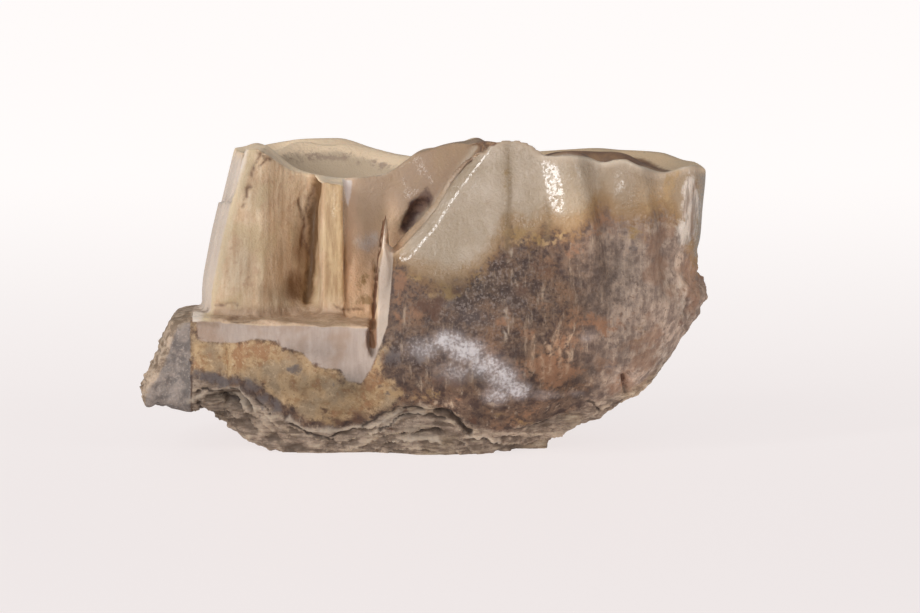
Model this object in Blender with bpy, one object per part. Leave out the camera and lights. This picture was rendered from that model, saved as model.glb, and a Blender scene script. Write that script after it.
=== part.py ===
"""A fossil rhinoceros upper molar, broken at one corner, standing on the stumps of its roots.

Seen from the front, +X is right, +Y is away and +Z is up. All sizes are in millimetres, and MM turns
them into Blender's metres where a mesh is made.
"""

import math

import bmesh
import bpy
import numpy as np
from mathutils import Matrix, Vector

MM = 0.001
# Middle of the finished tooth's box in the drawing's own coordinates: it becomes the origin
MIDDLE = (0.32, 0.24, 0.0)
# Cell size of the even skin over the cut shape, and the share of its faces that is kept
SKIN_CELL = 0.4
KEPT_FACES = 0.052

# Outline of the crown from above at its widest level, from the front left corner anticlockwise
OUTLINE = [
    (-23.4, -7.0), (-20.5, -13.6), (-14.5, -16.2), (-8.5, -17.0), (-4.2, -18.8), (-1.0, -19.8),
    (4.0, -20.5), (9.6, -20.9), (15.0, -20.4), (19.4, -18.6), (23.0, -17.6), (26.8, -15.2),
    (30.0, -10.6), (30.8, -4.0), (30.2, 3.5), (29.2, 9.5), (26.6, 14.4), (23.2, 16.6),
    (18.6, 19.8), (13.6, 19.4), (7.0, 18.2), (0.0, 19.0), (-7.0, 20.6), (-13.4, 19.4),
    (-19.0, 18.2), (-22.4, 13.6), (-23.6, 6.0), (-24.0, -1.0),
]

# How far the wall stands inside that outline at each level: (height, inset), for each side
FRONT_INSET = [(-1, 5.6), (1.5, 4.6), (4, 2.6), (8, 0.4), (12, -0.3), (17, 0.2), (24, 2.0), (30, 3.9), (36, 6.2)]
RIGHT_INSET = [
    (-1, 21.6), (0.6, 16.6), (3, 12.6), (4.6, 9.8), (6.6, 7.0), (9.6, 4.2), (12.6, 2.3), (14.6, 1.0), (16.6, 0.5),
    (18.6, 1.1), (20.5, 1.5), (22.6, 0.9), (25.5, 0.5), (29.6, 0.0), (36, 2.0),
]
BACK_INSET = [(-1, 5.4), (3, 3.6), (8, 1.0), (13, 0.0), (18, 0.2), (26, 2.0), (32, 3.4), (36, 4.4)]
LEFT_INSET = [(-1, 2.4), (3, 1.0), (8, 0.3), (13, 0.0), (16, 0.0), (21.4, 0.8), (26.6, 2.0), (32.6, 3.5), (36, 4.4)]

# Ribs of the front wall: (x, slant towards +X on the way down, half width, height)
FRONT_RIBS = [
    (9.7, 0.00, 1.1, -0.2), (15.4, 0.22, 2.0, 1.4), (19.6, 0.06, 1.6, -0.8), (22.2, 0.20, 1.6, 1.0),
    (25.6, 0.05, 1.2, -0.55), (28.6, 0.05, 1.3, 0.5),
]
FRONT_RIB_FADE = (12.0, 24.0)
# Ribs of the outer wall at the back: (x, half width, height)
BACK_RIBS = [(18.4, 2.4, 1.0), (24.2, 1.8, -0.9), (6.5, 3.6, -0.8), (-7.4, 3.4, 0.8), (-14.4, 2.4, -0.5)]

# Heights of the worn edges against x
NEAR_RIM = [
    (-24, 32.2), (-17.4, 32.3), (-16.1, 31.3), (-14.9, 30.3), (-13.4, 29.4), (-11.6, 28.9), (-8.5, 28.5),
    (-4.6, 29.2), (-2.0, 30.3), (0.0, 31.6), (2.0, 32.4), (5.2, 33.3), (6.7, 33.7), (8.5, 34.0), (9.7, 34.3),
    (11.1, 33.9), (12.2, 33.1), (13.3, 32.3), (15.7, 32.4), (17.9, 32.0), (19.3, 31.5), (21.3, 32.0), (23.1, 31.2),
    (26.0, 30.2), (28.0, 30.7), (29.2, 30.8), (31, 29.6),
]
FAR_RIM = [
    (-24, 30.0), (-20, 30.5), (-16.8, 31.1), (-13.0, 31.6), (-9.8, 31.6), (-5.5, 30.4), (-2.3, 29.7),
    (2.0, 29.4), (8.0, 29.6), (14.0, 30.1), (18.5, 30.3), (23.0, 30.4), (26.5, 30.3), (28.5, 29.6), (31, 28.4),
]
# The crest that runs from the front cusp down to the mouth of the valley: height against x
CREST = [
    (-3.4, 21.0), (-3.06, 22.1), (-1.45, 24.1), (0.16, 25.8), (1.34, 27.2), (2.5, 29.2), (3.7, 30.9),
    (4.9, 32.4), (6.0, 33.4), (7.0, 33.7),
]
# Foot of the valley's back wall from above
VALLEY_FOOT = [(-12.0, -8.8), (-8.3, -8.7), (-5.5, -7.6), (-2.4, -6.6), (0.6, -6.8), (3.4, -8.6), (5.4, -11.4), (7.0, -15.0)]
VALLEY_FLOOR = [(-12, 13.8), (-4.4, 14.0), (-2.6, 15.0), (0.0, 17.6), (3.0, 23.0), (6.0, 30.2), (7.5, 34.0)]

# Basins of the worn face: centre x, centre y, half length, half depth, depth below the rim
BASINS = [(-8.6, 4.6, 9.0, 8.6, 5.6), (14.8, 4.4, 9.4, 6.2, 9.5)]
# The hollowed band of dentine behind the front edge of the right half
BAND_BACK = 8.6
BAND_DEPTH = 1.3
# The whole right half is worn down a little between its near and far rims
DISH_DEPTH = 1.7
DISH_REACH = 12.0
# and behind the tip of the front cusp
CUSP_WEAR = 1.3

# The broken corner: foot height, right end, and depth of the fracture face against x
LEDGE = 14.3
BREAK_RIGHT = -4.95
FRACTURE = [
    (-26.0, -8.6), (-20.6, -9.4), (-17.4, -9.2), (-16.0, -8.0), (-14.6, -5.8), (-13.4, -4.8), (-12.2, -4.2),
    (-11.5, -4.6), (-11.0, -7.0), (-10.6, -8.6), (-8.35, -9.0), (-7.9, -7.9), (-4.0, -6.6),
]

# Lumps: profile seen from the front as (x, z), then (y, scale) stations
SLAB = [(-26.9, 14.3), (-27.6, 12.6), (-28.0, 11.2), (-29.2, 8.2), (-30.3, 5.4), (-29.7, 4.9), (-25.0, 4.0), (-19.0, 5.0),
        (-19.0, 14.2), (-24.9, 14.8)]
SLAB_STATIONS = [(-12.6, 0.8), (-11.6, 0.95), (-9.0, 1.0), (-2.0, 0.98), (4.0, 0.86), (7.5, 0.55)]
BLADE = [(-3.9, 25.7), (-4.4, 22.0), (-4.75, 15.0), (-4.75, 11.0), (-4.3, 10.2), (-3.8, 11.4), (-3.4, 16.0), (-3.3, 20.0),
         (-3.5, 23.4)]
BLADE_STATIONS = [(-18.8, 0.7), (-18.4, 0.92), (-17.0, 1.0), (-9.5, 1.0), (-6.0, 0.9)]
GAP = [(-4.35, 26.0), (-5.0, 20.0), (-5.45, 13.7), (-4.75, 13.7), (-4.5, 20.0), (-3.95, 26.0)]
GAP_STATIONS = [(-20.0, 1.0), (-7.5, 1.0), (-5.5, 0.6)]


def curve(points, at):
    """A smooth curve through (place, value) points, read at an array of places."""
    x, y = (np.array(v, float) for v in zip(*points))
    rise = np.diff(y) / np.diff(x)
    level = rise[:-1] * rise[1:] <= 0
    middle = np.where(level, 0, 2 * rise[:-1] * rise[1:] / np.where(level, 1, rise[:-1] + rise[1:]))
    slope = np.concatenate([rise[:1], middle, rise[-1:]])
    at = np.clip(at, x[0], x[-1])
    i = np.clip(np.searchsorted(x, at) - 1, 0, len(x) - 2)
    step = x[i + 1] - x[i]
    t = (at - x[i]) / step
    bend = (1 + 2 * t) * (1 - t) ** 2 * y[i] + t * t * (3 - 2 * t) * y[i + 1]
    return bend + step * (t * (1 - t) ** 2 * slope[i] - t * t * (1 - t) * slope[i + 1])


def step(low, high, x):
    """0 below low, 1 above high, and smooth between them."""
    t = np.clip((x - low) / (high - low), 0, 1)
    return t * t * (3 - 2 * t)


def noise(x, y, z, seed):
    """Smooth pseudo-random values near -1 to 1, from a few sine waves that cross each other."""
    value = 0
    for n in range(1, 5):
        a, b, c = (math.sin(seed * 12.9 + n * k) * 1.3 for k in (4.1, 7.3, 2.7))
        value = value + np.sin(a * x + b * y + c * z + seed * n) / 2
    return value / 1.4


def outline_radius(angle):
    """Distance from the centre to the outline at each angle."""
    points = np.array(OUTLINE + OUTLINE[:2], float)
    along = np.arange(len(points), dtype=float)
    fine = np.linspace(0, len(OUTLINE), 900)
    x = curve(list(zip(along, points[:, 0])), fine)
    y = curve(list(zip(along, points[:, 1])), fine)
    turned = np.arctan2(y, x)
    order = np.argsort(turned)
    return np.interp(angle, turned[order], np.hypot(x, y)[order], period=2 * math.pi)


def wall_radius(angle, z):
    """Distance from the centre to the outside of the tooth, at an angle and a height."""
    across, away = np.cos(angle), np.sin(angle)
    side = np.where(across > 0, curve(RIGHT_INSET, z), curve(LEFT_INSET, z))
    face = np.where(away > 0, curve(BACK_INSET, z), curve(FRONT_INSET, z))
    radius = outline_radius(angle) - across**2 * side - away**2 * face
    x = radius * across
    upper = step(*FRONT_RIB_FADE, z)
    for place, slant, width, height in FRONT_RIBS:
        near = np.exp(-(((x - place - slant * (31 - z)) / width) ** 2))
        radius = radius + height * near * upper * (away < 0)
    for place, width, height in BACK_RIBS:
        radius = radius + height * np.exp(-(((x - place) / width) ** 2)) * step(6, 16, z) * (away > 0)
    return radius


def worn_face(x, y):
    """Height of the chewing face over the plan."""
    angle, reach = np.arctan2(y, x), np.hypot(x, y)
    inside = wall_radius(angle, np.full_like(x, 29.0)) - reach
    back = step(-6, 16, y)
    height = curve(NEAR_RIM, x) * (1 - back) + curve(FAR_RIM, x) * back
    for cx, cy, length, depth, drop in BASINS:
        reach = (np.abs((x - cx) / length) ** 2.6 + np.abs((y - cy) / depth) ** 2.6) ** (1 / 2.6)
        height = height - drop * (1 - step(0.35, 1.0, reach)) + 0.35 * np.exp(-(((reach - 1.08) / 0.1) ** 2))
    right = step(5.6, 8.6, x)
    edge = inside * (y < 2)
    band = step(1.4, 3.0, edge) * (1 - step(BAND_BACK - 2.2, BAND_BACK - 0.4, edge))
    dish = np.maximum(1 - (y / DISH_REACH) ** 2, 0) * step(0.6, 2.4, inside)
    height = height - (BAND_DEPTH * band + DISH_DEPTH * dish) * right
    height = height - CUSP_WEAR * np.exp(-(((x - 10.4) / 2.6) ** 2)) * step(2.0, 3.6, inside)
    rear = step(1.6, 2.6, inside) * (1 - step(4.4, 5.4, inside)) * step(4, 10, y)
    height = height - 0.9 * rear
    foot = curve(VALLEY_FOOT, x)
    floor = curve(VALLEY_FLOOR, x)
    behind = y - foot
    back_wall = floor + 3.4 * np.maximum(behind, 0) + 0.08 * np.maximum(behind, 0) ** 2
    lip = curve(CREST, x) - 2.0 * np.maximum(inside - 1.0, 0)
    front = np.maximum(lip, floor)
    valley = np.where(behind > 0, np.maximum(back_wall, np.where(x > -3.3, lip, -99)), front)
    in_valley = (x > -8.3) & (x < 7.0) & (y < 4)
    return np.where(in_valley, np.minimum(height, valley), height)


def root_face(x, y):
    """Height of the broken root bases over the plan."""
    near = curve([(-30, 5), (-26.8, 4.1), (-20.9, 2.5), (-16.6, 0.6), (-13, -0.4), (13, -0.4), (15, 1.6), (19.3, 3.2),
                  (22.3, 5.2), (26.6, 9.6), (30, 14)], x)
    arch = 5.5 * np.exp(-(((x - 1) / 6.5) ** 2)) * step(2, 14, y)
    fork = 3.0 * np.exp(-(((y + 0.5) / 3.4) ** 2)) * step(-2, -12, -np.abs(x))
    return near + arch + fork + 0.5 * noise(x / 2, y / 2, 0, 3)


def mesh_object(name, points, faces):
    """A mesh object from points in millimetres."""
    mesh = bpy.data.meshes.new(name)
    mesh.from_pydata(((np.asarray(points) - MIDDLE) * MM).tolist(), [], faces)
    obj = bpy.data.objects.new(name, mesh)
    bpy.context.scene.collection.objects.link(obj)
    return obj


def tooth_body(turns, levels, rings):
    """The whole tooth before it broke: a wall between its worn face and its root face."""
    angle = np.linspace(-math.pi, math.pi, turns, endpoint=False)
    top, bottom = np.full(turns, 31.0), np.full(turns, 2.0)
    for _ in range(12):
        radius = wall_radius(angle, top) - 0.05
        top = 0.5 * top + 0.5 * worn_face(radius * np.cos(angle), radius * np.sin(angle))
        radius = wall_radius(angle, bottom) - 0.05
        bottom = 0.5 * bottom + 0.5 * root_face(radius * np.cos(angle), radius * np.sin(angle))
    rows = []
    for share in np.linspace(1, 0, rings, endpoint=False)[::-1]:
        radius = wall_radius(angle, bottom) * share
        x, y = radius * np.cos(angle), radius * np.sin(angle)
        rows.append(np.stack([x, y, root_face(x, y) if share < 1 else bottom], 1))
    for share in np.linspace(0, 1, levels + 1)[1:-1]:
        z = bottom + (top - bottom) * share
        radius = wall_radius(angle, z)
        rows.append(np.stack([radius * np.cos(angle), radius * np.sin(angle), z], 1))
    for share in np.linspace(1, 0, rings, endpoint=False):
        radius = wall_radius(angle, top) * share
        x, y = radius * np.cos(angle), radius * np.sin(angle)
        rows.append(np.stack([x, y, worn_face(x, y) if share < 1 else top], 1))
    points = np.concatenate(rows)
    zero = np.zeros(1)
    points = np.vstack([points, [[0, 0, root_face(zero, zero)[0]], [0, 0, worn_face(zero, zero)[0]]]])
    faces = []
    for r in range(len(rows) - 1):
        for t in range(turns):
            n = (t + 1) % turns
            faces.append((r * turns + t, r * turns + n, (r + 1) * turns + n, (r + 1) * turns + t))
    low, high, last = len(points) - 2, len(points) - 1, (len(rows) - 1) * turns
    for t in range(turns):
        n = (t + 1) % turns
        faces.append((low, n, t))
        faces.append((high, last + t, last + n))
    return mesh_object("molar", points, faces)


def swept_sheet(name, grid, towards):
    """A closed cutter: a sheet of points, given as rows, pushed out along a direction."""
    rows, columns = grid.shape[:2]
    near = grid.reshape(-1, 3)
    points = np.vstack([near, near + np.array(towards, float)])
    n = rows * columns
    faces = []
    for r in range(rows - 1):
        for c in range(columns - 1):
            a, b, d, e = r * columns + c, r * columns + c + 1, (r + 1) * columns + c + 1, (r + 1) * columns + c
            faces.append((a, e, d, b))
            faces.append((a + n, b + n, d + n, e + n))
    ring = [c for c in range(columns)]
    ring += [r * columns + columns - 1 for r in range(1, rows)]
    ring += [(rows - 1) * columns + c for c in range(columns - 2, -1, -1)]
    ring += [r * columns for r in range(rows - 2, 0, -1)]
    for i, a in enumerate(ring):
        b = ring[(i + 1) % len(ring)]
        faces.append((a, b, b + n, a + n))
    return mesh_object(name, points, faces)


def broken_corner(columns, rows):
    """The cutter for the corner that broke away: a ledge, then the fracture face above it."""
    x = np.linspace(-34, BREAK_RIGHT, columns)
    sheet = []
    for share in np.linspace(0, 1, rows):
        z = LEDGE + 0.3 * noise(x / 1.5, np.full(columns, share * 8), 0, 5)
        y = -24 + (fracture_depth(x, z) + 24) * share
        sheet.append(np.stack([x, y, z], 1))
    for share in np.linspace(0, 1, rows)[1:]:
        z = LEDGE + 0.3 * noise(x / 1.5, np.full(columns, 8.0), 0, 5) * (1 - share) + share * 22
        sheet.append(np.stack([x, fracture_depth(x, z), z], 1))
    return swept_sheet("broken_corner", np.array(sheet), (0, -30, 30))


def fracture_depth(x, z):
    """How far back the fracture face lies."""
    lean = (z - LEDGE) * 0.02
    shifted = x + (z - 23) * np.interp(x, [-26, -14, -10, -4], [-0.20, 0.02, 0, 0])
    hollow = step(LEDGE - 1, LEDGE + 4, z) * (1 - 0.55 * step(26, 31, z))
    base = np.interp(shifted, [-26, -17, -8.2, -4], [-8.8, -9.2, -8.9, -6.8])
    toe = 2.6 * step(-8.3, -7.4, x) * (1 - step(16, 24, z))
    return base + (curve(FRACTURE, shifted) - base) * (0.45 + 0.55 * hollow) + lean - toe


def lump(name, profile, stations):
    """A closed lump: a profile of (x, z) points, repeated at (y, scale) stations around its middle."""
    profile = np.array(profile, float)
    middle = profile.mean(0)
    points, faces, n = [], [], len(profile)
    for y, scale in stations:
        for x, z in middle + (profile - middle) * scale:
            points.append((x, y, z))
    for s in range(len(stations) - 1):
        for i in range(n):
            k = (i + 1) % n
            faces.append((s * n + k, s * n + i, s * n + n + i, s * n + n + k))
    faces.append(tuple(range(n)))
    faces.append(tuple(range(len(points) - n, len(points)))[::-1])
    return mesh_object(name, points, faces)


def ball(name, centre, size, turned):
    """A rounded cutter: a sphere stretched to a size and turned about the Y axis."""
    mesh = bpy.data.meshes.new(name)
    shape = bmesh.new()
    bmesh.ops.create_icosphere(shape, subdivisions=3, radius=MM / 2)
    bmesh.ops.scale(shape, vec=size, verts=shape.verts)
    bmesh.ops.rotate(shape, matrix=Matrix.Rotation(math.radians(turned), 3, "Y"), verts=shape.verts)
    bmesh.ops.translate(shape, vec=(Vector(centre) - Vector(MIDDLE)) * MM, verts=shape.verts)
    shape.to_mesh(mesh)
    shape.free()
    obj = bpy.data.objects.new(name, mesh)
    bpy.context.scene.collection.objects.link(obj)
    return obj


def combine(target, other, how):
    """A Boolean of two closed pieces. The second is only a helper, and is hidden."""
    other.hide_render = True
    other.display_type = "WIRE"
    joint = target.modifiers.new(other.name, "BOOLEAN")
    joint.operation = how
    joint.solver = "EXACT"
    joint.object = other


def material(name, color, roughness):
    """A plain Principled material."""
    made = bpy.data.materials.new(name)
    made.use_nodes = True
    shader = made.node_tree.nodes["Principled BSDF"]
    shader.inputs["Base Color"].default_value = (*color, 1)
    shader.inputs["Roughness"].default_value = roughness
    return made


for leftover in list(bpy.data.objects):
    bpy.data.objects.remove(leftover)

tooth = tooth_body(turns=240, levels=30, rings=34)
combine(tooth, broken_corner(60, 20), "DIFFERENCE")
combine(tooth, lump("slab", SLAB, SLAB_STATIONS), "UNION")
combine(tooth, lump("blade", BLADE, BLADE_STATIONS), "UNION")
combine(tooth, lump("gap", GAP, GAP_STATIONS), "DIFFERENCE")
combine(tooth, ball("slot", (-5.3, -18.6, 12.4), (0.9, 4.0, 3.4), -6), "DIFFERENCE")
combine(tooth, ball("pit", (-0.9, -5.8, 25.0), (2.2, 5.0, 5.2), 32), "DIFFERENCE")

# One even skin, then fewer faces, kept where the surface bends most
skin = tooth.modifiers.new("skin", "REMESH")
skin.mode = "VOXEL"
skin.voxel_size = SKIN_CELL * MM
thinned = tooth.modifiers.new("thinned", "DECIMATE")
thinned.ratio = KEPT_FACES

# The root stumps end in flat ground faces at the level the tooth rests on
below = lump("below", [(-60, -20), (60, -20), (60, 0), (-60, 0)], [(-60, 1.0), (60, 1.0)])
combine(tooth, below, "DIFFERENCE")

tooth.data.materials.append(material("fossil_tooth", (0.52, 0.43, 0.32), 0.45))
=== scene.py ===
"""A fossil rhinoceros upper molar, broken at one corner, standing on a pale studio floor.

The drawing is in millimetres: +X right, +Y away from the camera, +Z up. MM turns it into metres.
"""

import math

import bmesh
import bpy
import numpy as np
from mathutils import Matrix, Vector


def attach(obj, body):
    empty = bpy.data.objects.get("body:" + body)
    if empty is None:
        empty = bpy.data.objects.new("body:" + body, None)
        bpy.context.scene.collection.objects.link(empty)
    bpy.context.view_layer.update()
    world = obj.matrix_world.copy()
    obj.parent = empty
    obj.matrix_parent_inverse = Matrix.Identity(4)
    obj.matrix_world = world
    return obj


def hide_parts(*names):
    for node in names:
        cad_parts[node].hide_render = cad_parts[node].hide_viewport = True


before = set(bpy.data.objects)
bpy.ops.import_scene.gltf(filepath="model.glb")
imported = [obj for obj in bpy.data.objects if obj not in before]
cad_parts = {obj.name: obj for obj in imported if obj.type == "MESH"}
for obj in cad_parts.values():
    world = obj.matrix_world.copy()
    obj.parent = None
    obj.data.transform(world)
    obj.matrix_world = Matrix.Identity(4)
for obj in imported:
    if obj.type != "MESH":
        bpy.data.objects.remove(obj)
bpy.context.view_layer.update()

# The camera. A long lens stands 0.6 m in front of the tooth and looks down on it a little, as on a
# copy stand. One millimetre of the tooth takes PX_PER_MM pixels of the picture.
MM = 0.001
PICTURE = (920, 613)
PX_PER_MM = 9.3
SENSOR_WIDTH = 36
DISTANCE = 600.0
TILT = math.radians(6)
AIM = Vector((4.14, -10.0, 15.43))
MIDDLE = Vector((0.32, 0.24, 0.0))

camera_data = bpy.data.cameras.new("camera")
camera = bpy.data.objects.new("camera", camera_data)
bpy.context.scene.collection.objects.link(camera)
bpy.context.scene.camera = camera
camera.location = (AIM - MIDDLE + Vector((0, -math.cos(TILT), math.sin(TILT))) * DISTANCE) * MM
camera.rotation_euler = (math.pi / 2 - TILT, 0, 0)
camera_data.sensor_width = SENSOR_WIDTH
camera_data.lens = SENSOR_WIDTH * DISTANCE * PX_PER_MM / PICTURE[0]
camera_data.clip_start = 0.01


# The tooth. One natural piece: a crown of enamel folded round dentine, worn flat across the ridges,
# with the near left corner broken away and the roots snapped off short. The form is lofted round a
# middle axis, cut and joined, covered with one fine skin, and then pitted and ridged along that skin.

# Outline of the crown from above at its widest level, from the front left corner anticlockwise
OUTLINE = [
    (-23.4, -7.0), (-20.5, -13.6), (-14.5, -16.2), (-8.5, -17.0), (-4.2, -18.8), (-1.0, -19.8),
    (4.0, -20.5), (9.6, -20.9), (15.0, -20.4), (19.4, -18.6), (23.0, -17.6), (26.8, -15.2),
    (30.0, -10.6), (30.8, -4.0), (30.2, 3.5), (29.2, 9.5), (26.6, 14.4), (23.2, 16.6),
    (18.6, 19.8), (13.6, 19.4), (7.0, 18.2), (0.0, 19.0), (-7.0, 20.6), (-13.4, 19.4),
    (-19.0, 18.2), (-22.4, 13.6), (-23.6, 6.0), (-24.0, -1.0),
]

# How far the wall stands inside that outline at each level: (height, inset), for each side
FRONT_INSET = [
    (-1, 5.6), (1.5, 4.6), (4, 2.6), (8, 0.4), (12, -0.3), (17, 0.2), (24, 2.0), (30, 3.9), (36, 6.2),
]
RIGHT_INSET = [
    (-1, 21.6), (0.6, 16.6), (3, 12.6), (4.6, 9.8), (6.6, 7.0), (9.6, 4.2), (12.6, 2.3), (14.6, 1.0),
    (16.6, 0.5), (18.6, 1.1), (20.5, 1.5), (22.6, 0.9), (25.5, 0.5), (29.6, 0.0), (36, 2.0),
]
BACK_INSET = [(-1, 5.4), (3, 3.6), (8, 1.0), (13, 0.0), (18, 0.2), (26, 2.0), (32, 3.4), (36, 4.4)]
LEFT_INSET = [
    (-1, 2.4), (3, 1.0), (8, 0.3), (13, 0.0), (16, 0.0), (21.4, 0.8), (26.6, 2.0), (32.6, 3.5), (36, 4.4),
]

# Ribs of the front wall: (x, slant towards +X on the way down, half width, height)
FRONT_RIBS = [
    (9.7, 0.00, 1.1, -0.2), (15.4, 0.22, 2.0, 1.4), (19.6, 0.06, 1.6, -0.8), (22.2, 0.20, 1.6, 1.0),
    (25.6, 0.05, 1.2, -0.55), (28.6, 0.05, 1.3, 0.5),
]
FRONT_RIB_FADE = (12.0, 24.0)
# Ribs of the outer wall at the back: (x, half width, height)
BACK_RIBS = [(18.4, 2.4, 1.0), (24.2, 1.8, -0.9), (6.5, 3.6, -0.8), (-7.4, 3.4, 0.8), (-14.4, 2.4, -0.5)]

# Heights of the worn edges against x, on the near and the far side
NEAR_RIM = [
    (-24, 32.2), (-17.4, 32.3), (-16.1, 31.3), (-14.9, 30.3), (-13.4, 29.4), (-11.6, 28.9), (-8.5, 28.5),
    (-4.6, 29.2), (-2.0, 30.3), (0.0, 31.6), (2.0, 32.4), (5.2, 33.3), (6.7, 33.7), (8.5, 34.0),
    (9.7, 34.3), (11.1, 33.9), (12.2, 33.1), (13.3, 32.3), (15.7, 32.4), (17.9, 32.0), (19.3, 31.5),
    (21.3, 32.0), (23.1, 31.2), (26.0, 30.2), (28.0, 30.7), (29.2, 30.8), (31, 29.6),
]
FAR_RIM = [
    (-24, 30.0), (-20, 30.5), (-16.8, 31.1), (-13.0, 31.6), (-9.8, 31.6), (-5.5, 30.4), (-2.3, 29.7),
    (2.0, 29.4), (8.0, 29.6), (14.0, 30.1), (18.5, 30.3), (23.0, 30.4), (26.5, 30.3), (28.5, 29.6),
    (31, 28.4),
]
# The crest that runs from the front cusp down to the mouth of the valley: height against x
CREST = [
    (-3.4, 21.0), (-3.06, 22.1), (-1.45, 24.1), (0.16, 25.8), (1.34, 27.2), (2.5, 29.2), (3.7, 30.9),
    (4.9, 32.4), (6.0, 33.4), (7.0, 33.7),
]
# Foot of the valley's back wall from above
VALLEY_FOOT = [
    (-12.0, -8.8), (-8.3, -8.7), (-5.5, -7.6), (-2.4, -6.6), (0.6, -6.8), (3.4, -8.6), (5.4, -11.4),
    (7.0, -15.0),
]
VALLEY_FLOOR = [(-12, 13.8), (-4.4, 14.0), (-2.6, 15.0), (0.0, 17.6), (3.0, 23.0), (6.0, 30.2), (7.5, 34.0)]

# Basins of the worn face: centre x, centre y, half length, half depth, depth below the rim. Their
# plan is a rounded rectangle, squarer where the power is higher.
BASIN_POWER = 2.6
BASINS = [(-8.6, 4.6, 9.0, 8.6, 5.6), (14.8, 4.4, 9.4, 6.2, 9.5)]
# The hollowed band of dentine behind the front edge of the right half
BAND_BACK = 8.6
BAND_DEPTH = 1.3
# The whole right half is worn down a little between its near and far rims
DISH_DEPTH = 1.7
DISH_REACH = 12.0
# The wear behind the tip of the front cusp
CUSP_WEAR = 1.3

# Foot of the broken root along the near side, against x
ROOT_FOOT = [
    (-30, 5), (-26.8, 4.1), (-20.9, 2.5), (-16.6, 0.6), (-13, -0.4), (13, -0.4), (15, 1.6), (19.3, 3.2),
    (22.3, 5.2), (26.6, 9.6), (30, 14),
]

# The broken corner: foot height, right end, and depth of the fracture face against x
LEDGE = 14.3
BREAK_RIGHT = -4.95
FRACTURE = [
    (-26.0, -8.6), (-20.6, -9.4), (-17.4, -9.2), (-16.0, -8.0), (-14.6, -5.8), (-13.4, -4.8), (-12.2, -4.2),
    (-11.5, -4.6), (-11.0, -7.0), (-10.6, -8.6), (-8.35, -9.0), (-7.9, -7.9), (-4.0, -6.6),
]

# The slab at the left end, the splinter beside the break, and the gap cut behind the splinter: each a
# profile seen from the front as (x, z), then (y, scale) stations
SLAB = [
    (-26.9, 14.3), (-27.6, 12.6), (-28.0, 11.2), (-29.2, 8.2), (-30.3, 5.4), (-29.7, 4.9), (-25.0, 4.0),
    (-19.0, 5.0), (-19.0, 14.2), (-24.9, 14.8),
]
SLAB_STATIONS = [(-12.6, 0.8), (-11.6, 0.95), (-9.0, 1.0), (-2.0, 0.98), (4.0, 0.86), (7.5, 0.55)]
BLADE = [
    (-3.9, 25.7), (-4.4, 22.0), (-4.75, 15.0), (-4.75, 11.0), (-4.3, 10.2), (-3.8, 11.4), (-3.4, 16.0),
    (-3.3, 20.0), (-3.5, 23.4),
]
BLADE_STATIONS = [(-18.8, 0.7), (-18.4, 0.92), (-17.0, 1.0), (-9.5, 1.0), (-6.0, 0.9)]
GAP = [(-5.3, 26.0), (-5.4, 20.0), (-5.45, 13.7), (-4.75, 13.7), (-4.5, 20.0), (-3.95, 26.0)]
GAP_STATIONS = [(-20.0, 1.0), (-7.5, 1.0), (-5.5, 0.6)]
# Rounded cutters: centre, size, and turn about the Y axis in degrees
SLOT_CUTTER = ((-5.3, -18.6, 12.4), (0.9, 4.0, 3.4), -6)
PIT_CUTTER = ((-0.9, -5.8, 25.0), (2.2, 5.0, 5.2), 32)


def curve(points, at):
    """A smooth curve through (place, value) points, read at an array of places."""
    x, y = (np.array(v, float) for v in zip(*points))
    rise = np.diff(y) / np.diff(x)
    level = rise[:-1] * rise[1:] <= 0
    middle = np.where(level, 0, 2 * rise[:-1] * rise[1:] / np.where(level, 1, rise[:-1] + rise[1:]))
    slope = np.concatenate([rise[:1], middle, rise[-1:]])
    at = np.clip(at, x[0], x[-1])
    i = np.clip(np.searchsorted(x, at) - 1, 0, len(x) - 2)
    step = x[i + 1] - x[i]
    t = (at - x[i]) / step
    bend = (1 + 2 * t) * (1 - t) ** 2 * y[i] + t * t * (3 - 2 * t) * y[i + 1]
    return bend + step * (t * (1 - t) ** 2 * slope[i] - t * t * (1 - t) * slope[i + 1])


def step(low, high, x):
    """0 below low, 1 above high, and smooth between them. It falls where high is the lower one."""
    t = np.clip((x - low) / (high - low), 0, 1)
    return t * t * (3 - 2 * t)


def noise(x, y, z, seed):
    """Smooth pseudo-random values near -1 to 1, from a few sine waves that cross each other."""
    value = 0
    for n in range(1, 5):
        a, b, c = (math.sin(seed * 12.9 + n * k) * 1.3 for k in (4.1, 7.3, 2.7))
        value = value + np.sin(a * x + b * y + c * z + seed * n) / 2
    return value / 1.4


def outline_radius(angle):
    """Distance from the centre to the outline at each angle."""
    points = np.array(OUTLINE + OUTLINE[:2], float)
    along = np.arange(len(points), dtype=float)
    fine = np.linspace(0, len(OUTLINE), 900)
    x = curve(list(zip(along, points[:, 0])), fine)
    y = curve(list(zip(along, points[:, 1])), fine)
    turned = np.arctan2(y, x)
    order = np.argsort(turned)
    return np.interp(angle, turned[order], np.hypot(x, y)[order], period=2 * math.pi)


def wall_radius(angle, z):
    """Distance from the centre to the outside of the tooth, at an angle and a height."""
    across, away = np.cos(angle), np.sin(angle)
    side = np.where(across > 0, curve(RIGHT_INSET, z), curve(LEFT_INSET, z))
    face = np.where(away > 0, curve(BACK_INSET, z), curve(FRONT_INSET, z))
    radius = outline_radius(angle) - across**2 * side - away**2 * face
    x = radius * across
    upper = step(*FRONT_RIB_FADE, z)
    for place, slant, width, height in FRONT_RIBS:
        near = np.exp(-(((x - place - slant * (31 - z)) / width) ** 2))
        radius = radius + height * near * upper * (away < 0)
    for place, width, height in BACK_RIBS:
        radius = radius + height * np.exp(-(((x - place) / width) ** 2)) * step(6, 16, z) * (away > 0)
    return radius


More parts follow.
